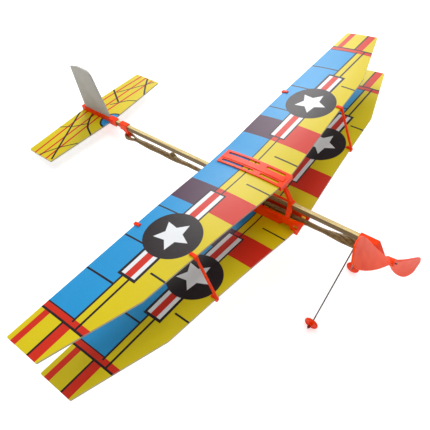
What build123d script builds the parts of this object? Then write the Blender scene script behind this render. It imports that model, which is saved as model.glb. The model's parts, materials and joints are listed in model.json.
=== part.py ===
"""Rubber band plane: a stick-fuselage biplane with printed foam wings.

Everything is modelled level, in the rig frame: nose towards -Y, +Z up, starboard at -X, with the
origin in the middle of the upper wing's trailing edge.  At the end the whole model is tipped
back until its two wheels and its tail stand on the ground, Z = 0.
"""
import os
from collections import namedtuple
from math import asin, atan2, cos, degrees, pi, radians, sin

from build123d import *

os.makedirs("parts", exist_ok=True)

# ---------------------------------------------------------------- driving dimensions, mm
HALF_SPAN = 215.0            # along the wing's surface, centre to tip
ROOT_CHORD = 67.5
CREASE_SPAN = 145.0          # where the leading edge turns towards the tip
CREASE_CHORD = 55.2
TIP_CHORD = 33.3
CAMBER = 1.8
FOAM = 1.6                   # thickness of every foam sheet
CENTRE_FLAT = 9.0            # half of the flat middle that the clips hold
BREAK_SPAN = 75.0            # where the wing levels off outboard
BREAK_RADIUS = 900.0
CORNER_RADIUS = 1.2          # of the foam sheets, in plan

Wing = namedtuple("Wing", "te_y te_z incidence inner_slope outer_slope root_radius")
UPPER = Wing(0.0, 0.0, radians(2.7), 0.060, 0.020, 150.0)
LOWER = Wing(-13.2, -44.2, radians(2.3), 0.127, 0.047, 80.0)

STICK_WIDTH = 3.6
STICK_HEIGHT = 5.0
STICK_TOP = -17.3
STICK_FRONT = -147.0
STICK_REAR = 142.0
STICK_BOTTOM = STICK_TOP - STICK_HEIGHT
SLEEVE_WALL = 0.9            # of every moulding that goes round the stick
SLIDE_GAP = 0.15             # between the stick and the collars that slide on it

SHAFT_Z = -31.0              # thrust line, in the middle of the bearing
UPTHRUST = 7.0               # degrees by which the thrust line points up from the stick
WIRE = 1.0                   # propeller shaft
RUNNING_GAP = 0.05           # radial, in every running fit
BEARING_REAR = -146.5
BEARING_FRONT = -153.6
BEAD_LENGTH = 2.0
END_PLAY = 0.2
HUB_RADIUS = 3.2
HUB_LENGTH = 7.0
SHAFT_STUB = 1.6             # of the shaft in front of the hub
HOOK_REAR = -137.4           # rear of the shaft's hook

PROP_RADIUS = 80.0
BLADE_ANGLE = 131.8          # of the upper blade, from +X towards +Z
BLADE_CHORD = 22.0
BLADE_WIDEST = 0.77          # of the radius
BLADE_SWEEP = 0.14           # share of the chord's growth by which the blade leans to its front edge
BLADE_THICKNESS = 1.3
ROOT_PITCH = 53.0            # degrees from the disc
TIP_PITCH = 12.0

BAND_RADIUS = 1.8            # of the twisted rubber
POST_Y = 120.4               # rear hook's post
POST_WIDTH = 2.6
POST_DEPTH = 3.2

GEAR_WIRE = 1.1
TRACK = 35.8                 # half of the distance between the wheels
AXLE_Y = -117.0
AXLE_Z = -110.4
WHEEL_RADIUS = 6.2
RIM_WIDTH = 2.4
GEAR_TOP = (4.2, -132.8, -24.2)

STAB_HALF_SPAN = 75.0
STAB_ROOT_CHORD = 41.5
STAB_TIP_CHORD = 33.0
STAB_ROOT_FRONT = 142.5
STAB_TIP_FRONT = 147.6
STAB_TOP = -21.3
FIN_BASE = -20.2
BRACKET_FRONT = 133.0
BRACKET_REAR = 184.5
BRACKET_TOP = -16.6
BRACKET_BOTTOM = -25.2

STRUT_SPAN = 98.0            # interplane struts, along the wing's surface
STRUT_THICKNESS = 2.2


# ---------------------------------------------------------------- the wing's surface
def chord_at(span):
    """Chord at a distance from the centre, along the surface."""
    if span < CREASE_SPAN:
        return ROOT_CHORD + (CREASE_CHORD - ROOT_CHORD) * span / CREASE_SPAN
    outboard = (span - CREASE_SPAN) / (HALF_SPAN - CREASE_SPAN)
    return CREASE_CHORD + (TIP_CHORD - CREASE_CHORD) * outboard


def skin(wing, back, lift=0.0):
    """(y, z) of the centre section's top skin, at a distance in front of the trailing edge."""
    share = back / ROOT_CHORD
    rise = back * sin(wing.incidence) + 4 * CAMBER * share * (1 - share)
    return (wing.te_y - back * cos(wing.incidence), wing.te_z + rise + lift)


def skin_slope(wing, back):
    """Angle of the skin at that place, in degrees, positive where it rises towards the nose."""
    return degrees(wing.incidence) + degrees(4 * CAMBER * (1 - 2 * back / ROOT_CHORD) / ROOT_CHORD)


def strip(wing, start, end, bottom, thickness):
    """Closed outline in YZ that follows the skin: for a wing's section or a clip's plate."""
    middle = (start + end) / 2
    lines = []
    for lift in (bottom, bottom + thickness):
        points = [skin(wing, back, lift) for back in (start, middle, end)]
        lines.append(ThreePointArc(*points))
    Line(lines[0] @ 0, lines[1] @ 0)
    Line(lines[0] @ 1, lines[1] @ 1)


def spar_line(wing):
    """The wing's front view from the centre to the port tip, flat, then bent up, then less so."""
    inner, outer = degrees(atan2(wing.inner_slope, 1)), degrees(atan2(wing.outer_slope, 1))
    root_arc = wing.root_radius * radians(inner)
    break_arc = BREAK_RADIUS * radians(inner - outer)
    with BuildLine(Plane.XZ) as spar:
        flat = Line((0, wing.te_z), (CENTRE_FLAT, wing.te_z))
        rise = JernArc(flat @ 1, (1, 0), wing.root_radius, inner)
        panel = PolarLine(rise @ 1, BREAK_SPAN - CENTRE_FLAT - root_arc - break_arc / 2, inner)
        level = JernArc(panel @ 1, panel % 1, BREAK_RADIUS, outer - inner)
        PolarLine(level @ 1, HALF_SPAN - BREAK_SPAN - break_arc / 2, outer)
    return spar.wire()


def foam_wing(wing):
    """One foam sheet, cambered, bent along the span and cut to its outline."""
    spar = spar_line(wing)
    tip_x = (spar @ 1).X - 0.2
    with BuildPart() as sheet:
        with BuildSketch(Plane.YZ):
            with BuildLine():
                strip(wing, 0, ROOT_CHORD, -FOAM, FOAM)
            make_face()
        sweep(path=spar)
        mirror(about=Plane.YZ)
        with BuildSketch():
            with BuildLine():
                crease_x = CREASE_SPAN
                nose = [skin(wing, chord)[0] for chord in (ROOT_CHORD, CREASE_CHORD, TIP_CHORD)]
                half = [(0, nose[0]), (crease_x, nose[1]), (tip_x, nose[2]), (tip_x, wing.te_y)]
                Polyline(*half, *[(-x, y) for x, y in reversed(half[1:])], close=True)
            make_face()
            corners = [v for v in vertices() if abs(v.X) > tip_x - 1]
            fillet(corners, CORNER_RADIUS)
        extrude(amount=2 * ROOT_CHORD, both=True, mode=Mode.INTERSECT)
    return sheet


# ---------------------------------------------------------------- standing on the ground
tail_reach = BRACKET_REAR - AXLE_Y
tail_rise = BRACKET_BOTTOM - AXLE_Z
tail_distance = (tail_reach ** 2 + tail_rise ** 2) ** 0.5
GROUND_ANGLE = degrees(atan2(tail_rise, tail_reach) + asin(WHEEL_RADIUS / tail_distance))
TIPPED = Rotation(-GROUND_ANGLE, 0, 0)

pieces = {}


def keep(name, builder, place=Location()):
    """Keep a finished piece, moved from where it was drawn to its place in the rig."""
    builder.part.move(place)
    pieces[name] = builder


# ---------------------------------------------------------------- fuselage stick
with BuildPart() as stick:
    with BuildSketch(Plane.XZ.offset(-STICK_REAR)):
        with Locations((0, STICK_TOP - STICK_HEIGHT / 2)):
            RectangleRounded(STICK_WIDTH, STICK_HEIGHT, 0.35)
    extrude(amount=STICK_REAR - STICK_FRONT)
keep("fuselage_stick", stick)

# ---------------------------------------------------------------- nose bearing
SLEEVE_WIDTH = STICK_WIDTH + 2 * SLEEVE_WALL
SLEEVE_TOP = STICK_TOP + SLEEVE_WALL
NOSE_SLEEVE_REAR = -133.0
NOSE_FLOOR = -24.9
NOSE_LIP = 2.0               # of the floor behind the sleeve, for the gear wire
NOSE_BROW = (-151.6, -24.5)  # where the sloping front of the moulding turns down
BOSS_RISE = 2.6              # of the bearing above the thrust line
BOSS_DROP = 3.2              # and below it
BEARING_MIDDLE = (BEARING_REAR + BEARING_FRONT) / 2
THRUST_LINE = (
    Location((0, BEARING_MIDDLE, SHAFT_Z), (-UPTHRUST, 0, 0)) * Location((0, -BEARING_MIDDLE, -SHAFT_Z))
)


def bearing_face(rise):
    """(y, z) of the bearing's front face, square to the thrust line, at a height above its middle."""
    upthrust = radians(UPTHRUST)
    ahead = (BEARING_MIDDLE - BEARING_FRONT - rise * sin(upthrust)) / cos(upthrust)
    return BEARING_MIDDLE - ahead, SHAFT_Z + rise


with BuildPart() as nose_bearing:
    with BuildSketch(Plane.YZ):
        with BuildLine():
            Polyline(
                (NOSE_SLEEVE_REAR, SLEEVE_TOP), (STICK_FRONT - 0.9, SLEEVE_TOP), NOSE_BROW,
                bearing_face(BOSS_RISE), bearing_face(-BOSS_DROP),
                (BEARING_REAR, SHAFT_Z - BOSS_DROP), (BEARING_REAR + 1.3, NOSE_FLOOR),
                (NOSE_SLEEVE_REAR + NOSE_LIP, NOSE_FLOOR),
                (NOSE_SLEEVE_REAR + NOSE_LIP, STICK_BOTTOM),
                (NOSE_SLEEVE_REAR, STICK_BOTTOM), close=True,
            )
        make_face()
    extrude(amount=SLEEVE_WIDTH / 2, both=True)
    fillet(nose_bearing.edges().filter_by(Axis.X).sort_by(Axis.Y)[-1], 0.5)
    for flank in (0, -1):
        fillet(nose_bearing.edges().filter_by(Axis.X, reverse=True).group_by(Axis.X)[flank], 0.4)
    with Locations((0, STICK_FRONT, STICK_BOTTOM)):
        Box(STICK_WIDTH, STICK_REAR, STICK_HEIGHT, align=(Align.CENTER, Align.MIN, Align.MIN),
            mode=Mode.SUBTRACT)
    with Locations(Location((0, BEARING_MIDDLE, SHAFT_Z), (90 - UPTHRUST, 0, 0))):
        Hole(WIRE / 2 + RUNNING_GAP)
    with Locations(Location((0, GEAR_TOP[1], GEAR_TOP[2]), (0, 90, 0))):
        Cylinder(GEAR_WIRE / 2, 2 * SLEEVE_WIDTH, mode=Mode.SUBTRACT)
keep("nose_bearing", nose_bearing)

# ---------------------------------------------------------------- propeller shaft with its hook
BEAD_FRONT = BEARING_FRONT - END_PLAY - BEAD_LENGTH
HUB_FRONT = BEAD_FRONT - HUB_LENGTH
EYE = 2.3                    # half height of the hook's eye
HOOK_FRONT = -144.4
HOOK_MOUTH = -142.4
with BuildPart() as propeller_shaft:
    with BuildLine(Plane.YZ) as shaft_line:
        FilletPolyline(
            (HUB_FRONT - SHAFT_STUB, SHAFT_Z), (HOOK_FRONT, SHAFT_Z), (HOOK_MOUTH, SHAFT_Z + EYE),
            (HOOK_REAR - 1.2, SHAFT_Z + EYE), (HOOK_REAR, SHAFT_Z),
            (HOOK_REAR - 1.2, SHAFT_Z - EYE), (HOOK_MOUTH, SHAFT_Z - EYE), radius=1.0,
        )
    with BuildSketch(Plane(shaft_line.wire() @ 0, z_dir=shaft_line.wire() % 0)):
        Circle(WIRE / 2)
    sweep(path=shaft_line.wire())
keep("propeller_shaft", propeller_shaft, THRUST_LINE)

with BuildPart(Plane.XZ.offset(-BEAD_FRONT - BEAD_LENGTH)) as thrust_bead:
    Cylinder(1.9, BEAD_LENGTH, align=(Align.CENTER, Align.CENTER, Align.MIN))
    fillet(thrust_bead.edges(), 0.45)
    Hole(WIRE / 2)
keep("thrust_bead", thrust_bead, THRUST_LINE * Location((0, 0, SHAFT_Z)))

# ---------------------------------------------------------------- propeller
BLADE_STATIONS = 12
BLADE_ROOT = 1.0
NECK_CHORD = 5.0
NECK_THICKNESS = 2.8
NECK_REACH = 0.35            # share of the radius where the blade reaches its own thickness


def blade_section(share):
    """(chord, thickness, pitch) at a share of the radius: a neck at the hub, then a round paddle."""
    if share < BLADE_WIDEST:
        swell = sin(pi / 2 * share / BLADE_WIDEST) ** 1.3
        chord = NECK_CHORD + (BLADE_CHORD - NECK_CHORD) * swell
    else:
        chord = BLADE_CHORD * (1 - ((share - BLADE_WIDEST) / (1.03 - BLADE_WIDEST)) ** 2.2) ** 0.5
    thinning = min(1.0, share / NECK_REACH)
    thickness = NECK_THICKNESS + (BLADE_THICKNESS - NECK_THICKNESS) * thinning
    pitch = ROOT_PITCH + (TIP_PITCH - ROOT_PITCH) * share
    return chord, thickness, pitch


with BuildPart() as propeller:
    for station in range(BLADE_STATIONS):
        radius = BLADE_ROOT + (PROP_RADIUS - BLADE_ROOT) * station / (BLADE_STATIONS - 1)
        chord, thickness, pitch = blade_section(radius / PROP_RADIUS)
        across = (-cos(radians(pitch)), -sin(radians(pitch)), 0)
        with BuildSketch(Plane((0, HUB_LENGTH / 2, radius), x_dir=across, z_dir=(0, 0, 1))):
            with Locations((-BLADE_SWEEP * (chord - NECK_CHORD), 0)):
                RectangleRounded(chord, thickness, 0.45 * thickness)
    loft()
    add(propeller.part.rotate(Axis.Y, 180))
    with Locations(Location((0, HUB_LENGTH / 2, 0), (90, 0, 0))):
        Cylinder(HUB_RADIUS, HUB_LENGTH)
        Hole(WIRE / 2)
blades_up = Location((0, HUB_FRONT, SHAFT_Z), (0, 90 - BLADE_ANGLE, 0))
keep("propeller", propeller, THRUST_LINE * blades_up)

# ---------------------------------------------------------------- rubber motor
EYE_HEIGHT = 3.0             # of the band's loop round the rear hook
EYE_OUTER = 3.7
EYE_INNER = 2.15
TWIST_REAR = POST_Y - 4.5    # where the twisted length ends
BAND_FRONT = HOOK_REAR + WIRE / 2 + 0.4
with BuildPart() as rubber_motor:
    with BuildSketch(Plane.XZ.offset(-TWIST_REAR)):
        with Locations((0, SHAFT_Z)):
            Circle(BAND_RADIUS)
    extrude(amount=TWIST_REAR - BAND_FRONT)
    with BuildSketch(Plane.XY.offset(SHAFT_Z - EYE_HEIGHT / 2)):
        with Locations((0, POST_Y)):
            Circle(EYE_OUTER)
        with Locations((0, POST_Y - 4.2)):
            Rectangle(2 * BAND_RADIUS, 4.6)
        with Locations((0, POST_Y)):
            Circle(EYE_INNER, mode=Mode.SUBTRACT)
    extrude(amount=EYE_HEIGHT)
hook_drop = (BEARING_MIDDLE - HOOK_REAR) * sin(radians(UPTHRUST))
band_slope = degrees(atan2(-hook_drop, POST_Y - HOOK_REAR))
BAND_LINE = Location((0, POST_Y, SHAFT_Z), (-band_slope, 0, 0)) * Location((0, -POST_Y, -SHAFT_Z))
keep("rubber_motor", rubber_motor, BAND_LINE)

# ---------------------------------------------------------------- rear hook, gripping the stick
HOOK_SLEEVE = (117.0, 127.0)
POST_FOOT = -34.6
with BuildPart() as rear_hook:
    with BuildSketch(Plane.YZ):
        with BuildLine():
            front, rear = POST_Y - POST_DEPTH / 2, POST_Y + POST_DEPTH / 2
            Polyline(
                (rear + 5.2, STICK_BOTTOM), (front - 0.6, STICK_BOTTOM), (front, -27.2),
                (front, POST_FOOT), (rear + 2.6, POST_FOOT), (rear + 2.6, POST_FOOT + 1.7),
                (rear, POST_FOOT + 1.7), (rear, -28.4), close=True,
            )
        make_face()
    extrude(amount=POST_WIDTH / 2, both=True)
    with Locations((0, sum(HOOK_SLEEVE) / 2, STICK_TOP - STICK_HEIGHT / 2)):
        Box(SLEEVE_WIDTH, HOOK_SLEEVE[1] - HOOK_SLEEVE[0], STICK_HEIGHT + 2 * SLEEVE_WALL)
    fillet(rear_hook.edges().filter_by(Axis.Y).group_by(Axis.Z)[-1], 0.6)
    with Locations((0, sum(HOOK_SLEEVE) / 2, STICK_TOP - STICK_HEIGHT / 2)):
        Box(STICK_WIDTH, 20, STICK_HEIGHT, mode=Mode.SUBTRACT)
keep("rear_hook", rear_hook)

# ---------------------------------------------------------------- tail
with BuildPart() as stabiliser:
    with BuildSketch(Plane.XY.offset(STAB_TOP - FOAM)):
        with BuildLine():
            Polyline(
                (-STAB_HALF_SPAN, STAB_TIP_FRONT), (0, STAB_ROOT_FRONT),
                (STAB_HALF_SPAN, STAB_TIP_FRONT),
                (STAB_HALF_SPAN, STAB_TIP_FRONT + STAB_TIP_CHORD),
                (0, STAB_ROOT_FRONT + STAB_ROOT_CHORD),
                (-STAB_HALF_SPAN, STAB_TIP_FRONT + STAB_TIP_CHORD), close=True,
            )
        make_face()
        fillet([v for v in vertices() if abs(v.X) > 1], CORNER_RADIUS)
    extrude(amount=FOAM)
keep("stabiliser", stabiliser)

FIN_FRONT = 142.5
FIN_FOOT = 180.2
FIN_NOSE = (154.6, 31.6)
FIN_CROWN = (173.0, 32.0)
FIN_TIP = (182.6, 29.6)
with BuildPart() as fin:
    with BuildSketch(Plane.YZ):
        with BuildLine():
            Polyline(
                (FIN_FRONT, FIN_BASE), (FIN_FRONT, BRACKET_TOP), FIN_NOSE, FIN_CROWN,
                FIN_TIP, (FIN_FOOT, FIN_BASE), close=True,
            )
        make_face()
        for corner, radius in ((FIN_NOSE, 8.0), (FIN_CROWN, 24.0), (FIN_TIP, 1.6)):
            fillet(vertices().sort_by_distance((0, *corner))[0], radius)
    extrude(amount=FOAM / 2, both=True)
keep("fin", fin)

JAW_WIDTH = 4.6
with BuildPart() as tail_bracket:
    with BuildSketch(Plane.YZ):
        with BuildLine():
            Polyline(
                (BRACKET_FRONT, SLEEVE_TOP), (BRACKET_REAR, BRACKET_TOP),
                (BRACKET_REAR, BRACKET_BOTTOM), (BRACKET_FRONT, STICK_BOTTOM - SLEEVE_WALL),
                close=True,
            )
        make_face()
    extrude(amount=JAW_WIDTH / 2, both=True)
    with Locations((0, (BRACKET_FRONT + STICK_REAR) / 2, STICK_TOP - STICK_HEIGHT / 2)):
        Box(SLEEVE_WIDTH, STICK_REAR - BRACKET_FRONT, STICK_HEIGHT + 2 * SLEEVE_WALL)
    with Locations((0, STICK_REAR, STICK_TOP - STICK_HEIGHT / 2)):
        Box(STICK_WIDTH, 2 * STICK_REAR, STICK_HEIGHT, mode=Mode.SUBTRACT,
            align=(Align.CENTER, Align.MAX, Align.CENTER))
    add(stabiliser.part, mode=Mode.SUBTRACT)
    add(fin.part, mode=Mode.SUBTRACT)
keep("tail_bracket", tail_bracket)

# ---------------------------------------------------------------- landing gear
LEG_TOP, LEG_FOOT = Vector(*GEAR_TOP), Vector(TRACK - 3.2, AXLE_Y, AXLE_Z)
AXLE_TIP = Vector(TRACK + 5.9, AXLE_Y, AXLE_Z)
AXLE_RADIUS = GEAR_WIRE / 2
with BuildPart() as landing_gear_wire:
    with BuildLine() as gear_line:
        port = [LEG_TOP, LEG_FOOT, AXLE_TIP]
        starboard = [Vector(-p.X, p.Y, p.Z) for p in reversed(port)]
        FilletPolyline(*starboard, *port, radius=1.4)
    with BuildSketch(Plane(gear_line.wire() @ 0, z_dir=gear_line.wire() % 0)):
        Circle(AXLE_RADIUS)
    sweep(path=gear_line.wire())
keep("landing_gear_wire", landing_gear_wire)

HUB_INSIDE, HUB_OUTSIDE = -1.4, 2.9
WHEEL_HUB = 1.7
DISH_OUTER, DISH_INNER, DISH_DEPTH = 4.9, 2.2, 0.5
CAP_RADIUS = 1.35
CAP_LENGTH = 2.0
for side, sign in (("left", 1), ("right", -1)):
    with BuildPart(Plane((0, 0, 0), z_dir=(sign, 0, 0))) as wheel:
        Cylinder(WHEEL_RADIUS, RIM_WIDTH)
        fillet(wheel.edges(), 1.0)
        with Locations((0, 0, HUB_INSIDE)):
            Cylinder(WHEEL_HUB, HUB_OUTSIDE - HUB_INSIDE, align=(Align.CENTER, Align.CENTER, Align.MIN))
        with BuildSketch(Plane((sign * RIM_WIDTH / 2, 0, 0), z_dir=(sign, 0, 0))):
            Circle(DISH_OUTER)
            Circle(DISH_INNER, mode=Mode.SUBTRACT)
        extrude(amount=-DISH_DEPTH, mode=Mode.SUBTRACT)
        Hole(AXLE_RADIUS + RUNNING_GAP)
    keep(f"wheel_{side}", wheel, Location((sign * TRACK, AXLE_Y, AXLE_Z)))
    with BuildPart(Plane((0, 0, 0), z_dir=(sign, 0, 0))) as cap:
        Cylinder(CAP_RADIUS, CAP_LENGTH, align=(Align.CENTER, Align.CENTER, Align.MIN))
        fillet(cap.edges().group_by(Axis.X)[-1 if sign > 0 else 0], 0.5)
        Hole(AXLE_RADIUS)
    cap_inside = TRACK + HUB_OUTSIDE + END_PLAY
    keep(f"wheel_cap_{side}", cap, Location((sign * cap_inside, AXLE_Y, AXLE_Z)))

# ---------------------------------------------------------------- wings
keep("upper_wing", foam_wing(UPPER))
keep("lower_wing", foam_wing(LOWER))

# ---------------------------------------------------------------- clips that hold the wings' middles
CLIP_HALF_WIDTH = 8.0
CLIP_THICKNESS = 1.2
CLIP_REAR = 4.8              # in front of the trailing edge
SLOT_CENTRE = 4.7
SLOT_WIDTH = 2.6
SLOTS = ((8.0, 40.0), (46.5, 64.5))
RIB_HALF_WIDTH = 2.2
RIB_HEIGHT = 0.8
LIP = 1.3                    # of a clip round the leading edge
BED_DEPTH = FOAM + CLIP_THICKNESS


def slotted_plate(wing, start, end, bottom, thickness, slots):
    """A plate that lies along the skin, with a pair of slots for each (start, end) in slots."""
    with BuildPart() as plate:
        with BuildSketch(Plane.YZ):
            with BuildLine():
                strip(wing, start, end, bottom, thickness)
            make_face()
        extrude(amount=CLIP_HALF_WIDTH, both=True)
        with BuildSketch(Plane.XY.offset(wing.te_z)):
            for slot_start, slot_end in slots:
                middle = skin(wing, (slot_start + slot_end) / 2)[0]
                with Locations((-SLOT_CENTRE, middle), (SLOT_CENTRE, middle)):
                    SlotOverall(slot_end - slot_start, SLOT_WIDTH, rotation=90)
        extrude(amount=20, both=True, mode=Mode.SUBTRACT)
    return plate.part


with BuildPart() as upper_wing_clip:
    add(slotted_plate(UPPER, CLIP_REAR, ROOT_CHORD + LIP, 0.0, CLIP_THICKNESS, SLOTS))
    with BuildSketch(Plane.YZ):
        with BuildLine():
            strip(UPPER, CLIP_REAR + 1, ROOT_CHORD - 1, CLIP_THICKNESS - 0.3, RIB_HEIGHT)
        make_face()
    extrude(amount=RIB_HALF_WIDTH, both=True)
    edge_y, edge_z = skin(UPPER, ROOT_CHORD)
    with Locations((0, edge_y - LIP / 2, edge_z - BED_DEPTH / 2)):
        Box(2 * CLIP_HALF_WIDTH, LIP, BED_DEPTH + 0.4)
    add(pieces["upper_wing"].part, mode=Mode.SUBTRACT)
keep("upper_wing_clip", upper_wing_clip)

with BuildPart() as lower_wing_clip:
    add(slotted_plate(LOWER, CLIP_REAR, ROOT_CHORD - 8, -BED_DEPTH, CLIP_THICKNESS, SLOTS[:1]))
    add(pieces["lower_wing"].part, mode=Mode.SUBTRACT)
keep("lower_wing_clip", lower_wing_clip)

# ---------------------------------------------------------------- cabane: upper bed, struts, collars
COLLARS = ((-75.0, -71.0, ROOT_CHORD - 1.2), (-17.5, -13.5, 12.0))  # front, rear, place on wing
COLLAR_WIDTH = STICK_WIDTH + 2 * (SLIDE_GAP + SLEEVE_WALL)
COLLAR_TOP = STICK_TOP + SLIDE_GAP + SLEEVE_WALL
COLLAR_BOTTOM = STICK_BOTTOM - SLIDE_GAP - SLEEVE_WALL
SPINE_WIDTH = 1.5
PYLON_WIDTH = 3.0
PYLON_DEPTH = 3.2
RAIL_OUTSIDE = 7.0
RAIL_WALL = 1.2
RAIL_TOP = -29.0             # where the collars' legs reach the saddle
LEG_INSIDE = COLLAR_WIDTH / 2 - 0.8
with BuildPart() as cabane:
    add(slotted_plate(UPPER, CLIP_REAR, ROOT_CHORD - 0.2, -BED_DEPTH, CLIP_THICKNESS, SLOTS))
    for front, rear, back in COLLARS:
        with BuildSketch(Plane.YZ):
            with BuildLine():
                foot_y, foot_z = skin(UPPER, back, -BED_DEPTH + 0.5)
                Polyline(
                    (foot_y, foot_z), (foot_y + PYLON_DEPTH, foot_z), (rear - 0.6, COLLAR_TOP - 0.5),
                    (front + 0.6, COLLAR_TOP - 0.5), close=True,
                )
            make_face()
        extrude(amount=PYLON_WIDTH / 2, both=True)
        with Locations((0, (front + rear) / 2, (COLLAR_TOP + COLLAR_BOTTOM) / 2)):
            Box(COLLAR_WIDTH, rear - front, COLLAR_TOP - COLLAR_BOTTOM)
        with BuildSketch(Plane.XZ.offset(-rear)):
            with BuildLine():
                Polyline(
                    (LEG_INSIDE, COLLAR_BOTTOM + 3.0), (COLLAR_WIDTH / 2, COLLAR_BOTTOM + 3.6),
                    (RAIL_OUTSIDE, RAIL_TOP + RAIL_WALL), (RAIL_OUTSIDE, RAIL_TOP),
                    (RAIL_OUTSIDE - RAIL_WALL, RAIL_TOP), (LEG_INSIDE, COLLAR_BOTTOM + 0.2),
                    close=True,
                )
            make_face()
            mirror(about=Plane.YZ)
        extrude(amount=rear - front)
    spine_front, spine_rear = COLLARS[0][1] - 1, COLLARS[1][0] + 1
    with Locations((0, spine_front, STICK_TOP + SLIDE_GAP)):
        Box(SPINE_WIDTH, spine_rear - spine_front, SLEEVE_WALL,
            align=(Align.CENTER, Align.MIN, Align.MIN))
    with Locations((0, (STICK_FRONT + STICK_REAR) / 2, STICK_TOP - STICK_HEIGHT / 2)):
        Box(STICK_WIDTH + 2 * SLIDE_GAP, STICK_REAR - STICK_FRONT, STICK_HEIGHT + 2 * SLIDE_GAP,
            mode=Mode.SUBTRACT)
    add(pieces["upper_wing"].part, mode=Mode.SUBTRACT)
keep("cabane", cabane)

# ---------------------------------------------------------------- saddle: side walls on the lower wing
SADDLE_REAR = -10.0
SADDLE_FRONT = -89.0
RAIL_BEND = COLLARS[0][0] - 3
RAIL_NOSE = -26.6
WALL_ARCH = -37.2            # top of the walls' opening in front of the bed
RAIL_FLANGE = 1.0
FLANGE_DEPTH = 1.5
WINDOW = 3.8
TIE_Z = -36.4
with BuildPart() as saddle:
    with BuildSketch(Plane.YZ.offset(RAIL_OUTSIDE)):
        with BuildLine():
            bed = [skin(LOWER, back, 0.0) for back in (4.0, 20.0, 36.0, 52.0)]
            nose_y, nose_z = skin(LOWER, ROOT_CHORD)
            Polyline(
                (SADDLE_REAR, RAIL_TOP), (RAIL_BEND, RAIL_TOP), (SADDLE_FRONT, RAIL_NOSE),
                (nose_y - 2.2, nose_z - FOAM - 1.2), (nose_y + 3.4, nose_z - FOAM - 1.0),
                (nose_y + 3.4, nose_z - FOAM), (nose_y - 0.05, nose_z - FOAM),
                (nose_y - 0.05, nose_z + 0.05), (nose_y + 3.6, nose_z + 0.45),
                (nose_y + 5.6, WALL_ARCH), (bed[3][0] - 4.4, WALL_ARCH),
                *reversed(bed), close=True,
            )
        make_face()
        with Locations((nose_y - 0.4, -35.6)):
            Rectangle(WINDOW, WINDOW, mode=Mode.SUBTRACT)
    extrude(amount=-RAIL_WALL)
    with BuildSketch(Plane.YZ.offset(RAIL_OUTSIDE)):
        with BuildLine():
            Polyline(
                (SADDLE_REAR, RAIL_TOP), (RAIL_BEND, RAIL_TOP), (SADDLE_FRONT, RAIL_NOSE),
                (SADDLE_FRONT + 0.6, RAIL_NOSE - FLANGE_DEPTH), (RAIL_BEND, RAIL_TOP - FLANGE_DEPTH),
                (SADDLE_REAR, RAIL_TOP - FLANGE_DEPTH), close=True,
            )
        make_face()
    extrude(amount=RAIL_FLANGE)
    mirror(about=Plane.YZ)
    for tie_y in (nose_y - 3.4, COLLARS[1][0]):
        with Locations((0, tie_y, TIE_Z)):
            Box(2 * RAIL_OUTSIDE - RAIL_WALL, 1.6, 1.8)
    add(pieces["lower_wing"].part, mode=Mode.SUBTRACT)
keep("saddle", saddle)

# ---------------------------------------------------------------- interplane struts
JAW_REACH = 5.0
JAW_SIDE = 2.6
JAW_WALL = 1.1
ROD_OUT = 1.2                # of the rod's centre beyond the wing's edge


def span_point(wing, span):
    """(x, rise above the centre) of the skin at a distance along the span."""
    place = spar_line(wing) @ (span / HALF_SPAN)
    return place.X, place.Z - wing.te_z


def jaw_outline(wing, back, facing):
    """A C-shaped clip on the wing's edge, in YZ, and the (y, z) of that edge.

    facing is -1 on the nose side and 1 on the tail side.
    """
    y, z = skin(wing, back, span_point(wing, STRUT_SPAN)[1])
    with Locations(Location((y, z), -skin_slope(wing, back))):
        with Locations((facing * (JAW_WALL - JAW_REACH / 2), -FOAM / 2)):
            RectangleRounded(JAW_REACH + JAW_WALL, FOAM + 2 * JAW_WALL, 0.5)
        with Locations((-facing * JAW_REACH, -FOAM / 2)):
            Rectangle(2 * JAW_REACH, FOAM, mode=Mode.SUBTRACT)
    return y, z


strut_x = span_point(UPPER, STRUT_SPAN)[0]
for end, facing, back in (("front", -1, chord_at(STRUT_SPAN)), ("rear", 1, 0.0)):
    for side, sign in (("left", 1), ("right", -1)):
        with BuildPart() as strut:
            rod_ends = []
            for wing in (UPPER, LOWER):
                with BuildSketch(Plane.YZ.offset(sign * strut_x)):
                    edge_y, edge_z = jaw_outline(wing, back, facing)
                extrude(amount=JAW_SIDE / 2, both=True)
                rod_ends.append(Vector(sign * strut_x, edge_y + facing * ROD_OUT, edge_z - FOAM / 2))
            with BuildLine() as rod_line:
                Line(*rod_ends)
            with BuildSketch(Plane(rod_line.wire() @ 0, z_dir=rod_line.wire() % 0)):
                Circle(STRUT_THICKNESS / 2)
            sweep(path=rod_line.wire())
            for wing in ("upper_wing", "lower_wing"):
                add(pieces[wing].part, mode=Mode.SUBTRACT)
        keep(f"strut_{end}_{side}", strut)

# ---------------------------------------------------------------- stand it up and write it
def bounds():
    """The whole model's box."""
    return Compound(children=[Part(b.part.wrapped) for b in pieces.values()]).bounding_box()


for builder in pieces.values():
    builder.part.move(TIPPED)
box = bounds()
to_origin = Location((0, -(box.min.Y + box.max.Y) / 2, -box.min.Z))
for name, builder in pieces.items():
    builder.part.move(to_origin)
    builder.part.label = name
    export_step(builder.part, f"parts/{name}.step")

print("ground angle", GROUND_ANGLE, "size", box.size)
for place, point in (
    ("shaft", (0, BEARING_MIDDLE, SHAFT_Z)), ("axle", (TRACK, AXLE_Y, AXLE_Z)),
    ("stick underside", (0, 60, STICK_BOTTOM)), ("rig origin", (0, 0, 0)),
):
    print(place, (to_origin * TIPPED * Location(point)).position)
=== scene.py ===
"""Looks of the rubber band plane: printed foam, wood, moulded plastic, wire and a twisted rubber motor.

Sizes are in millimetres in the rig frame, in which the plane is level: nose towards -Y, +Z up,
origin in the middle of the upper wing's trailing edge.  RIG turns them into the row frame.
"""
import json
from math import atan2, cos, exp, pi, radians, sin, tau

import bpy
from mathutils import Matrix, Vector


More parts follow.
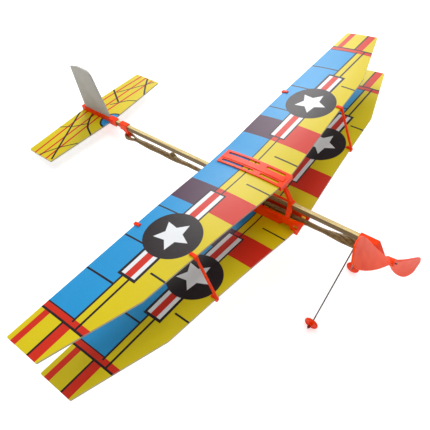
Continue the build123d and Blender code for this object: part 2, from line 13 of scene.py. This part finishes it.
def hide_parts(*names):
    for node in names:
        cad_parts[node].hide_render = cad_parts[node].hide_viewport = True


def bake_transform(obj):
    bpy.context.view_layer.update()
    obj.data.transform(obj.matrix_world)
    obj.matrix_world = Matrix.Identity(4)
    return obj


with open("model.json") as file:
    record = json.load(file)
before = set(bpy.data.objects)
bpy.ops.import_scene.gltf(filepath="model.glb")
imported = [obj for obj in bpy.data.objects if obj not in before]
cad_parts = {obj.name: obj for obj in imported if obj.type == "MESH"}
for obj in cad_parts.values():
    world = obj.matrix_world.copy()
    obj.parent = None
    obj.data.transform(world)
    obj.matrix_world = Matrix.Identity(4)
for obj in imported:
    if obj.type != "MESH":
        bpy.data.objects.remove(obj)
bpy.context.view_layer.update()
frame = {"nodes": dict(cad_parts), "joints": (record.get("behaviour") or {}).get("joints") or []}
scene = bpy.context.scene
joints = {joint["name"]: joint for joint in frame["joints"]}

# ---------------------------------------------------------------- the rig frame
MM = 0.001
SHAFT_Y, SHAFT_Z = -150.05, -31.0        # the propeller joint's place in the rig frame
stick_axis = Vector(joints["wing_trim_slide"]["axis"])
TILT = Matrix.Rotation(atan2(stick_axis.z, stick_axis.y), 3, "X")
shaft_place = Vector(joints["propeller_spin"]["pos_m"])
rig_origin = shaft_place - TILT @ Vector((0, SHAFT_Y, SHAFT_Z)) * MM
RIG = Matrix.Translation(rig_origin) @ TILT.to_4x4() @ Matrix.Scale(MM, 4)

# ---------------------------------------------------------------- camera
CAMERA_PLACE = (-235.56, -226.71, 280.06)
CAMERA_RIGHT = (0.62730, -0.77135, -0.10730)
CAMERA_AHEAD = (0.47272, 0.48663, -0.73466)
LENS = 42.4
SENSOR = 36.0
CLIP_NEAR, CLIP_FAR = 0.01, 20             # metres
right = Vector(CAMERA_RIGHT).normalized()
ahead = Vector(CAMERA_AHEAD)
ahead = (ahead - ahead.dot(right) * right).normalized()
turned = Matrix((right, right.cross(ahead), -ahead)).transposed()
camera_data = bpy.data.cameras.new("camera")
camera_data.lens, camera_data.sensor_width = LENS, SENSOR
camera_data.clip_start, camera_data.clip_end = CLIP_NEAR, CLIP_FAR
camera = bpy.data.objects.new("camera", camera_data)
scene.collection.objects.link(camera)
camera.matrix_world = Matrix.Translation(RIG @ Vector(CAMERA_PLACE)) @ (TILT @ turned).to_4x4()
scene.camera = camera

# ---------------------------------------------------------------- light
WORLD_STRENGTH = 0.50
scene.view_settings.view_transform = "Standard"
world = bpy.data.worlds.new("studio")
scene.world = world
world.use_nodes = True
world.node_tree.nodes["Background"].inputs["Color"].default_value = (1, 1, 1, 1)
world.node_tree.nodes["Background"].inputs["Strength"].default_value = WORLD_STRENGTH


def soft_light(name, place, target, size, power):
    """A square studio light at a place in the row frame, facing a target."""
    data = bpy.data.lights.new(name, "AREA")
    data.size, data.energy = size, power
    lamp = bpy.data.objects.new(name, data)
    scene.collection.objects.link(lamp)
    lamp.location = place
    lamp.rotation_euler = (Vector(target) - Vector(place)).to_track_quat("-Z", "Y").to_euler()


soft_light("glare", (0.95, 0.95, 0.68), (0.05, 0, 0.1), 0.55, 14)
soft_light("top", (0.1, 0.3, 1.3), (0, 0, 0.05), 0.9, 6.5)


# ---------------------------------------------------------------- node helpers
class Shader:
    """A material with a Principled shader, and short calls that add nodes to it."""

    def __init__(self, name):
        self.material = bpy.data.materials.new(name)
        self.material.use_nodes = True
        self.tree = self.material.node_tree
        self.principled = self.tree.nodes["Principled BSDF"]
        self.coordinates = self.tree.nodes.new("ShaderNodeTexCoord")

    def put(self, socket, value):
        """Connect a socket, or set its value."""
        if isinstance(value, bpy.types.NodeSocket):
            self.tree.links.new(value, socket)
        else:
            socket.default_value = value

    def math(self, operation, *values, clamp=False):
        node = self.tree.nodes.new("ShaderNodeMath")
        node.operation, node.use_clamp = operation, clamp
        for socket, value in zip(node.inputs, values):
            self.put(socket, value)
        return node.outputs[0]

    def vector(self, operation, *values, output=0):
        node = self.tree.nodes.new("ShaderNodeVectorMath")
        node.operation = operation
        for socket, value in zip(node.inputs, values):
            self.put(socket, value)
        return node.outputs[output]

    def mix(self, factor, first, second):
        node = self.tree.nodes.new("ShaderNodeMix")
        node.data_type = "RGBA"
        for socket, value in ((node.inputs[0], factor), (node.inputs[6], first), (node.inputs[7], second)):
            self.put(socket, value)
        return node.outputs[2]

    def rig_point(self, scale=(1, 1, 1)):
        """The point's place in the rig frame, in millimetres, each axis scaled."""
        mapping = self.tree.nodes.new("ShaderNodeMapping")
        inverse = RIG.inverted()
        mapping.inputs["Location"].default_value = inverse.to_translation()
        mapping.inputs["Rotation"].default_value = inverse.to_euler()
        mapping.inputs["Scale"].default_value = inverse.to_scale()
        self.put(mapping.inputs["Vector"], self.coordinates.outputs["Object"])
        if scale == (1, 1, 1):
            return mapping.outputs[0]
        return self.vector("MULTIPLY", mapping.outputs[0], scale)

    def scaled(self, vector, factor):
        node = self.tree.nodes.new("ShaderNodeVectorMath")
        node.operation = "SCALE"
        self.put(node.inputs[0], vector)
        self.put(node.inputs["Scale"], factor)
        return node.outputs[0]

    def split(self, vector):
        node = self.tree.nodes.new("ShaderNodeSeparateXYZ")
        self.put(node.inputs[0], vector)
        return node.outputs[0], node.outputs[1], node.outputs[2]

    def noise(self, vector, scale, detail=3.0, roughness=0.55):
        node = self.tree.nodes.new("ShaderNodeTexNoise")
        self.put(node.inputs["Vector"], vector)
        node.inputs["Scale"].default_value = scale
        node.inputs["Detail"].default_value = detail
        node.inputs["Roughness"].default_value = roughness
        return node.outputs["Fac"]

    def ramp(self, value, low, high, start=0.0, end=1.0):
        """value mapped from low..high to start..end, held at both ends."""
        node = self.tree.nodes.new("ShaderNodeMapRange")
        for socket, number in zip(node.inputs, (value, low, high, start, end)):
            self.put(socket, number)
        return node.outputs[0]

    def bump(self, height, strength, distance):
        """Bump of a height, with its distance in millimetres."""
        node = self.tree.nodes.new("ShaderNodeBump")
        node.inputs["Strength"].default_value = strength
        node.inputs["Distance"].default_value = distance * MM
        self.put(node.inputs["Height"], height)
        self.put(self.principled.inputs["Normal"], node.outputs[0])

    def set(self, **values):
        """Set sockets of the Principled shader, spaces in their names written as underscores."""
        for name, value in values.items():
            self.put(self.principled.inputs[name.replace("_", " ")], value)

    def paint(self, *nodes):
        """Give the material to CAD nodes or pieces."""
        for node in nodes:
            piece = frame["nodes"][node] if isinstance(node, str) else node
            piece.data.materials.clear()
            piece.data.materials.append(self.material)


def colour(red, green, blue):
    """Screen colour, 0 to 1, as a linear RGBA value."""
    linear = [c / 12.92 if c < 0.04045 else ((c + 0.055) / 1.055) ** 2.4 for c in (red, green, blue)]
    return (*linear, 1.0)


YELLOW = colour(0.81, 0.73, 0.0)
BLUE = colour(0.10, 0.55, 0.78)
RED = colour(0.77, 0.13, 0.01)
PURPLE = colour(0.26, 0.12, 0.24)
BLACK = colour(0.09, 0.03, 0.06)
WHITE = colour(0.86, 0.87, 0.88)
FOAM = colour(0.84, 0.83, 0.80)
EDGE_SOFT = 0.12                         # mm over which a printed edge turns

# ---------------------------------------------------------------- printed foam


class Print(Shader):
    """Foam sheet with a print on its upper face."""

    def __init__(self, name, base):
        super().__init__(name)
        self.point = self.rig_point()
        self.x, self.y, self.z = self.split(self.point)
        self.colour = base

    def lay(self, ink, mask):
        self.colour = self.mix(mask, self.colour, ink)

    def edge(self, distance):
        """1 where a distance in millimetres is below 0, 0 above it, with a soft turn."""
        return self.math("MULTIPLY_ADD", distance, -1 / EDGE_SOFT, 0.5, clamp=True)

    def panel(self, across, along, bounds):
        """Mask of the rectangle (across from, to, along from, to)."""
        sides = []
        for value, low, high in ((across, *bounds[:2]), (along, *bounds[2:])):
            off_centre = self.math("ABSOLUTE", self.math("SUBTRACT", value, (low + high) / 2))
            sides.append(self.math("SUBTRACT", off_centre, (high - low) / 2))
        return self.edge(self.math("MAXIMUM", *sides))

    def stroke(self, start, end, width):
        """Mask of a straight line from start to end, in XY."""
        start, end = Vector((*start, 0)), Vector((*end, 0))
        run = end - start
        flat = self.vector("MULTIPLY", self.point, (1, 1, 0))
        reach = self.vector("SUBTRACT", flat, start)
        share = self.vector("DOT_PRODUCT", reach, run / run.length_squared, output=1)
        share = self.math("MINIMUM", self.math("MAXIMUM", share, 0.0), 1.0)
        away = self.vector("LENGTH", self.vector("SUBTRACT", reach, self.scaled(run, share)), output=1)
        return self.edge(self.math("SUBTRACT", away, width / 2))

    def dress(self):
        """Finish: the print on the upper face, with painted shade where the face turns to the side, bare foam
        on the sides and below, speckle and gloss.
        """
        up = RIG.to_3x3().normalized() @ Vector((0, 0, 1))
        facing = self.vector("DOT_PRODUCT", self.coordinates.outputs["Normal"], up, output=1)
        speckle = self.noise(self.point, 2.4, detail=4.0, roughness=0.7)
        cloud = self.noise(self.point, 0.03, detail=2.0)
        tone = self.math("MULTIPLY", self.ramp(speckle, 0.3, 0.7, 0.93, 1.06),
                         self.ramp(cloud, 0.3, 0.7, 0.97, 1.03))
        # painted shade, together with the foam's darker pressed edge: the print darkens where the face turns
        # to the side
        painted_rim_shade = self.scaled(self.colour, self.ramp(facing, 0.3, 0.8, 0.5, 1.0))
        sheet = self.mix(self.ramp(facing, -0.5, 0.25), FOAM, painted_rim_shade)
        self.set(Base_Color=self.scaled(sheet, tone), Roughness=self.ramp(speckle, 0.3, 0.7, 0.34, 0.46),
                 Specular_IOR_Level=0.24)
        beads = self.noise(self.point, 0.9, detail=3.0)
        self.bump(self.math("ADD", beads, self.math("MULTIPLY", speckle, 0.5)), 0.35, 0.3)


BLUE_EDGE = 28.7             # of the blue field, in front of the trailing edge
YELLOW_EDGE = 35.1           # where the yellow field begins
BAND = (180.6, 186.1)        # red band across the wing
PRINT_END = 230.0            # past the wing's tip
REAR, FRONT = -5, 80         # past the sheet's edges, in front of the trailing edge
INSIDE = -5                  # past the middle, where both halves meet
PANELS = (
    # ink, span from, to, in front of the trailing edge from, to
    (BLUE, INSIDE, BAND[0], REAR, BLUE_EDGE),
    (PURPLE, 34.4, 60.1, REAR, BLUE_EDGE),
    (RED, 34.2, 60.4, BLUE_EDGE, FRONT),
    (RED, *BAND, REAR, FRONT),
    (RED, BAND[1], PRINT_END, 4.5, 10.1),
    (RED, BAND[1], PRINT_END, 23.7, 31.8),
    (BLACK, BAND[1] - 0.9, BAND[1] + 0.8, REAR, FRONT),
    (BLACK, BAND[0] - 0.5, BAND[0] + 0.5, REAR, BLUE_EDGE),
    (BLACK, BAND[1], PRINT_END, 22.9, 24.5),
    (BLACK, INSIDE, 140, BLUE_EDGE - 0.5, BLUE_EDGE + 0.5),
    (BLACK, 138, 182.8, BLUE_EDGE - 0.8, BLUE_EDGE + 0.8),
    (BLACK, INSIDE, 140, YELLOW_EDGE - 0.6, YELLOW_EDGE + 0.6),
    (BLACK, 138, BAND[1], YELLOW_EDGE - 0.85, YELLOW_EDGE + 0.85),
    (BLACK, 146.1, 147.7, REAR, BLUE_EDGE),
    (BLACK, 109.0, 110.5, REAR, BLUE_EDGE),
    (BLACK, 73.1, 74.4, REAR, BLUE_EDGE),
    (BLACK, 125.3, 126.9, 43.6, FRONT),
    (BLACK, 18.4, 19.8, 44.0, FRONT),
    (BLACK, 39.0, 92.0, 24.2, 39.9),
    (BLACK, 92.0, 138.8, 23.6, 40.5),
    (WHITE, 40.4, 92.0, 25.6, 38.5),
    (WHITE, 92.0, 136.5, 25.8, 38.3),
    (RED, 40.4, 136.5, 29.2, 34.9),
)
STAR_SPAN, STAR_CHORD = 92.2, 32.7
STAR_RADIUS = 14.4
STAR_NOTCH = 0.5           # of the star's radius
DISC_RADIUS = 22.3
STAR_FOLD = radians(36)      # half of the turn from one point to the next
BREAK_SPAN = 75.0            # where the wing levels off outboard


def printed_wing(name, rear, stretch):
    """The wing's print. stretch is how much longer its surface is than its plan, out to the break."""
    foam = Print(name, YELLOW)
    plan = foam.math("ABSOLUTE", foam.x)
    span = foam.math("MULTIPLY_ADD", foam.math("MINIMUM", plan, BREAK_SPAN), stretch, plan)
    back = foam.math("SUBTRACT", rear, foam.y)
    for ink, *bounds in PANELS:
        foam.lay(ink, foam.panel(span, back, bounds))
    east = foam.math("SUBTRACT", span, STAR_SPAN)
    north = foam.math("SUBTRACT", back, STAR_CHORD)
    squares = [foam.math("MULTIPLY", leg, leg) for leg in (east, north)]
    away = foam.math("SQRT", foam.math("ADD", *squares))
    foam.lay(BLACK, foam.edge(foam.math("SUBTRACT", away, DISC_RADIUS)))
    # one fifth of the star, folded on its point: inside the line from the point to the notch
    bearing = foam.math("ARCTAN2", east, north)
    turn = foam.math("ABSOLUTE", foam.math("PINGPONG", bearing, STAR_FOLD))
    point = Vector((STAR_RADIUS, 0))
    notch = STAR_RADIUS * STAR_NOTCH * Vector((cos(STAR_FOLD), sin(STAR_FOLD)))
    side = (notch - point).normalized()
    normal = Vector((side.y, -side.x))
    outward = foam.math("ADD", foam.math("MULTIPLY", foam.math("COSINE", turn), normal.x),
                        foam.math("MULTIPLY", foam.math("SINE", turn), normal.y))
    foam.lay(WHITE, foam.edge(foam.math("SUBTRACT", foam.math("MULTIPLY", away, outward), normal.dot(point))))
    foam.dress()
    return foam


printed_wing("print_upper", 0.0, 0.0018).paint("upper_wing")
printed_wing("print_lower", -13.2, 0.0080).paint("lower_wing")

# ---------------------------------------------------------------- stabiliser's print
STAB_HALF_SPAN = 75.0
STAB_ROOT = (142.5, 41.5)    # front edge's Y and the chord, at the middle
STAB_TIP = (147.6, 33.0)
NOSE_DISC = 10.4             # radius of the blue disc at the front edge
HAIR, PEN, BRUSH = 1.2, 1.9, 1.9         # widths of the drawn lines
STAB_LINES = (
    # ink, width, then (span, share of the chord from the rear edge) points
    (RED, PEN, (-75, 0.27), (0, 0.16)), (RED, PEN, (75, 0.23), (0, 0.11)),
    (RED, PEN, (-75, 0.51), (0, 0.42)), (RED, PEN, (75, 0.44), (0, 0.39)),
    (RED, PEN, (-75, 0.78), (0, 0.59)), (RED, PEN, (75, 0.74), (0, 0.57)),
    (BLACK, BRUSH, (-7, 0.0), (-72, 0.94)),
    (BLACK, HAIR, (-36, 0.0), (-27, 0.34), (-16, 0.57)),
    (BLACK, BRUSH, (0, 0.34), (-7.7, 0.42), (-16, 0.57), (-21, 0.70), (-26.8, 1.0)),
    (BLACK, HAIR, (-75, 0.46), (-58, 0.69), (-43, 1.0)),
    (BLACK, BRUSH, (40, 0.0), (26.8, 0.57)),
    (BLACK, HAIR, (38.6, 0.21), (63.9, 0.67), (73, 0.85)),
    (BLACK, HAIR, (18.8, 0.47), (33.8, 0.78), (38, 1.0)),
    (BLACK, PEN, (75, 0.5), (62, 0.76), (51, 1.0)),
)


def stab_point(span, share):
    """(x, y) of a place on the stabiliser."""
    out = abs(span) / STAB_HALF_SPAN
    front, chord = [root + (tip - root) * out for root, tip in zip(STAB_ROOT, STAB_TIP)]
    return span, front + (1 - share) * chord


tail_print = Print("print_tail", YELLOW)
for ink, width, *places in STAB_LINES:
    for start, end in zip(places, places[1:]):
        tail_print.lay(ink, tail_print.stroke(stab_point(*start), stab_point(*end), width))
flat = tail_print.vector("MULTIPLY", tail_print.point, (1, 1, 0))
reach = tail_print.vector("LENGTH", tail_print.vector("SUBTRACT", flat, (0, STAB_ROOT[0], 0)), output=1)
tail_print.lay(BLACK, tail_print.edge(tail_print.math("SUBTRACT", reach, NOSE_DISC + BRUSH)))
tail_print.lay(BLUE, tail_print.edge(tail_print.math("SUBTRACT", reach, NOSE_DISC)))
tail_print.dress()
tail_print.paint("stabiliser")

fin_foam = Shader("plain_foam")
fin_point = fin_foam.rig_point()
fin_grain = fin_foam.noise(fin_point, 0.9, detail=4.0, roughness=0.7)
fin_cloud = fin_foam.noise(fin_point, 0.05)
# painted shade: the fin's plain foam is given a greyer colour than FOAM, the wings' bare foam, for the shade
# on its side
fin_foam.set(
    Base_Color=fin_foam.mix(fin_foam.ramp(fin_cloud, 0.3, 0.7),
                            colour(0.64, 0.63, 0.60), colour(0.70, 0.69, 0.66)),
    Roughness=fin_foam.ramp(fin_grain, 0.3, 0.7, 0.6, 0.75),
)
fin_foam.bump(fin_grain, 0.25, 0.2)
fin_foam.paint("fin")

# ---------------------------------------------------------------- wood
wood = Shader("stick_wood")
grain_point = wood.rig_point((1.6, 0.035, 1.6))
streaks = wood.noise(grain_point, 1.0, detail=5.0, roughness=0.65)
pores = wood.noise(wood.rig_point((6, 0.25, 6)), 1.0, detail=2.0)
straw = wood.mix(wood.ramp(streaks, 0.35, 0.65), colour(0.66, 0.52, 0.24), colour(0.93, 0.86, 0.58))
straw = wood.mix(wood.ramp(pores, 0.52, 0.62, 0.0, 0.45), straw, colour(0.40, 0.27, 0.12))
# painted shade: faces that turn to the side are darkened to dark brown, standing in for the shade on the
# stick's sides
shaded_side = wood.math("ABSOLUTE", wood.split(wood.coordinates.outputs["Normal"])[0])
wood.set(Base_Color=wood.mix(wood.ramp(shaded_side, 0.5, 0.8, 0.0, 0.88), straw, colour(0.36, 0.25, 0.08)),
         Roughness=wood.ramp(streaks, 0.3, 0.7, 0.62, 0.5))
wood.bump(wood.math("ADD", streaks, pores), 0.3, 0.12)
wood.paint("fuselage_stick")


# ---------------------------------------------------------------- plastics, wire and rubber
def moulding(name, shallow, deep, roughness, glow, shine=0.3):
    """Glossy moulded plastic that lets some light through, a little uneven in tone."""
    plastic = Shader(name)
    point = plastic.rig_point()
    flow = plastic.noise(point, 0.12, detail=2.0)
    skin = plastic.noise(point, 1.2, detail=2.0)
    plastic.set(
        Base_Color=plastic.mix(plastic.ramp(flow, 0.3, 0.7), shallow, deep),
        Roughness=plastic.ramp(skin, 0.3, 0.7, roughness - 0.05, roughness + 0.06),
        Subsurface_Weight=glow, Subsurface_Radius=(1.0, 0.25, 0.1), Subsurface_Scale=0.002,
        Specular_IOR_Level=shine,
    )
    plastic.bump(skin, 0.04, 0.1)
    return plastic


moulding("red_plastic", colour(0.98, 0.27, 0.0), colour(0.92, 0.18, 0.0), 0.30, 0.1, 0.12).paint(
    "nose_bearing", "rear_hook", "tail_bracket", "upper_wing_clip", "lower_wing_clip", "cabane", "saddle",
    "strut_front_left", "strut_front_right", "strut_rear_left", "strut_rear_right",
    "wheel_left", "wheel_right",
)
moulding("propeller_plastic", colour(1.0, 0.31, 0.08), colour(0.97, 0.24, 0.04), 0.45, 0.1, 0.1).paint(
    "propeller")
moulding("cap_plastic", colour(0.45, 0.10, 0.05), colour(0.38, 0.08, 0.04), 0.4, 0.0).paint(
    "wheel_cap_left", "wheel_cap_right")
moulding("bead_plastic", colour(0.88, 0.87, 0.82), colour(0.80, 0.79, 0.74), 0.3, 0.0).paint("thrust_bead")

wire = Shader("steel_wire")
drawn = wire.noise(wire.rig_point((3, 3, 0.4)), 1.0, detail=3.0)
wire.set(Base_Color=wire.mix(drawn, colour(0.20, 0.20, 0.20), colour(0.34, 0.34, 0.33)), Metallic=1.0,
         Roughness=wire.ramp(drawn, 0.3, 0.7, 0.25, 0.4))
wire.bump(drawn, 0.1, 0.05)
wire.paint("landing_gear_wire", "propeller_shaft")

band = Shader("band_rubber")
band_point = band.rig_point((1, 0.15, 1))
band_tone = band.noise(band_point, 1.4, detail=4.0)
band.set(Base_Color=band.mix(band.ramp(band_tone, 0.35, 0.65),
                             colour(0.34, 0.24, 0.07), colour(0.56, 0.44, 0.18)),
         Roughness=band.ramp(band_tone, 0.3, 0.7, 0.30, 0.5))
band.bump(band_tone, 0.2, 0.1)

# ---------------------------------------------------------------- rubber motor: bands round both hooks
POST_Y = 120.4
HOOK_Y = -137.5
HOOK_DROP = 1.54             # of the shaft's hook below the post's level, from the shaft's tilt
BANDS = (-1.5, -0.5, 0.5, 1.5)       # level of each band at the hooks
STRAND = 0.95                # radius of one strand
BUNDLE = 1.0                 # from the axis to the strands' centres
TWISTS = 5.0                 # whole turns between the hooks
LEVEL_STEP = 1.0             # between the bands on a hook
FRONT_TURN, REAR_TURN = 1.45, 2.95   # radius of the bend round the shaft's hook and the post
SETTLE = 14.0                # length over which the strands gather into the bundle
STRAND_TURN = 45             # degrees round the bundle from one level to the next
SLACK, SLACK_RATE = 0.35, 0.11           # waver of each strand, and radians of it in a millimetre
KINK_STRAND = (1, 0.5)       # side and level of the strand that stands up to the stick
KINK_HEIGHT, KINK_Y, KINK_WIDTH = 4.2, 61, 3.4
# the loose turns behind the nose: growth of the bundle and of the strands, rise towards the stick
BUNCH, BUNCH_RISE, BUNCH_SWELL = 2.1, 3.3, 0.35
BUNCH_REAR, BUNCH_RUN, BUNCH_NECK = -98.0, 36.0, 12.0    # where they begin, and the length of both ends
# the loose strands ahead of the post: share of the same growth, and how far they hang
SAG, SAG_DROP = 0.30, 0.8
SAG_FRONT, SAG_REAR, SAG_RUN = 36.0, 117.0, 24.0
STEP = 1.2                   # along a strand
RING = 10                    # corners round a strand
BEND_STEPS = 8               # along the half turn round a hook


def ease(share):
    """0 below 0, 1 above 1, and a soft rise between them."""
    share = min(1.0, max(0.0, share))
    return share * share * (3 - 2 * share)


def band_z(y):
    """Height of the motor's axis, between the post and the shaft's hook."""
    return SHAFT_Z - HOOK_DROP * (POST_Y - y) / (POST_Y - HOOK_Y)


def bunch_at(y):
    """How far the strands are bunched up behind the nose, 0 to 1."""
    return ease((BUNCH_REAR - y) / BUNCH_RUN) * ease((y - HOOK_Y) / BUNCH_NECK)


def sag_at(y):
    """How far the strands hang loose ahead of the post, 0 to 1."""
    return ease((y - SAG_FRONT) / SAG_RUN) * ease((SAG_REAR - y) / SAG_RUN)


def strand_place(side, level, y):
    """Centre of a strand at a place along the motor."""
    run = (POST_Y - y) / (POST_Y - HOOK_Y)
    gathered = ease((POST_Y - y) / SETTLE) * ease((y - HOOK_Y) / SETTLE)
    turn = FRONT_TURN if run > 0.5 else REAR_TURN
    at_hook = Vector((side * turn, level * LEVEL_STEP))
    bearing = side * radians(STRAND_TURN * level) + (0 if side > 0 else pi)
    bunch = bunch_at(y)
    sag = sag_at(y)
    packed = BUNDLE * (1 + BUNCH * (bunch + SAG * sag)) * Vector((cos(bearing), sin(bearing)))
    spread = at_hook.lerp(packed, gathered)
    angle = tau * TWISTS * ease(run) * 0.5 + tau * TWISTS * run * 0.5
    x = spread.x * cos(angle) - spread.y * sin(angle)
    z = spread.x * sin(angle) + spread.y * cos(angle)
    slack = SLACK * sin(SLACK_RATE * y + level) * gathered
    rise = BUNCH_RISE * bunch - SAG_DROP * sag
    if (side, level) == KINK_STRAND:
        rise += KINK_HEIGHT * exp(-((y - KINK_Y) / KINK_WIDTH) ** 2)
    return Vector((x, y, band_z(y) + z + slack + rise))


def bend_round(centre_y, turn, level, start, end):
    """Points of a half turn round a hook, from one side to the other."""
    height = band_z(centre_y) + level * LEVEL_STEP
    bearings = [start + (end - start) * i / BEND_STEPS for i in range(BEND_STEPS + 1)]
    return [Vector((turn * cos(b), centre_y + turn * sin(b), height)) for b in bearings]


def closed_tube(points):
    """Vertices and faces of a strand along a closed line that never runs upright."""
    vertices, faces = [], []
    count = len(points)
    for i, point in enumerate(points):
        ahead = (points[(i + 1) % count] - points[i - 1]).normalized()
        up = (Vector((0, 0, 1)) - ahead.z * ahead).normalized()
        side = ahead.cross(up)
        loose = bunch_at(point.y) + SAG * sag_at(point.y)
        radius = STRAND * (1 + BUNCH_SWELL * loose)
        for k in range(RING):
            vertices.append(point + radius * (cos(tau * k / RING) * side + sin(tau * k / RING) * up))
    for i in range(count):
        for k in range(RING):
            here, there = i * RING, (i + 1) % count * RING
            faces.append((here + k, here + (k + 1) % RING, there + (k + 1) % RING, there + k))
    return vertices, faces


def mesh_piece(name, vertices, faces):
    """A smooth piece from vertices in the rig frame."""
    mesh = bpy.data.meshes.new(name)
    mesh.from_pydata([RIG @ v for v in vertices], [], faces)
    mesh.validate()
    mesh.shade_smooth()
    piece = bpy.data.objects.new(name, mesh)
    scene.collection.objects.link(piece)
    return piece


vertices, faces = [], []
steps = int((POST_Y - HOOK_Y) / STEP)
stations = [HOOK_Y + (POST_Y - HOOK_Y) * i / steps for i in range(1, steps)]
for level in BANDS:
    line = [strand_place(1, level, y) for y in reversed(stations)]
    line += bend_round(HOOK_Y, FRONT_TURN, level, 0, -pi)
    line += [strand_place(-1, level, y) for y in stations]
    line += bend_round(POST_Y, REAR_TURN, level, pi, 0)
    tube_vertices, tube_faces = closed_tube(line)
    offset = len(vertices)
    vertices += tube_vertices
    faces += [tuple(offset + i for i in face) for face in tube_faces]
strands = mesh_piece("rubber_strands", vertices, faces)
band.paint(strands)
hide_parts("rubber_motor")
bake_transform(strands)

# ---------------------------------------------------------------- floor
FLOOR_HALF = 3.0             # metres
FLOOR_GLOW = 0.4
floor_mesh = bpy.data.meshes.new("floor")
corners = [(x * FLOOR_HALF, y * FLOOR_HALF, 0) for x, y in ((-1, -1), (1, -1), (1, 1), (-1, 1))]
floor_mesh.from_pydata(corners, [], [(0, 1, 2, 3)])
floor = bpy.data.objects.new("floor", floor_mesh)
scene.collection.objects.link(floor)
paper = Shader("floor_paper")
paper_grain = paper.noise(paper.coordinates.outputs["Object"], 300.0)
paper.set(Base_Color=colour(0.97, 0.97, 0.97), Roughness=paper.ramp(paper_grain, 0.3, 0.7, 0.85, 0.95))
paper.set(Emission_Color=(1, 1, 1, 1), Emission_Strength=FLOOR_GLOW)
floor_mesh.materials.append(paper.material)
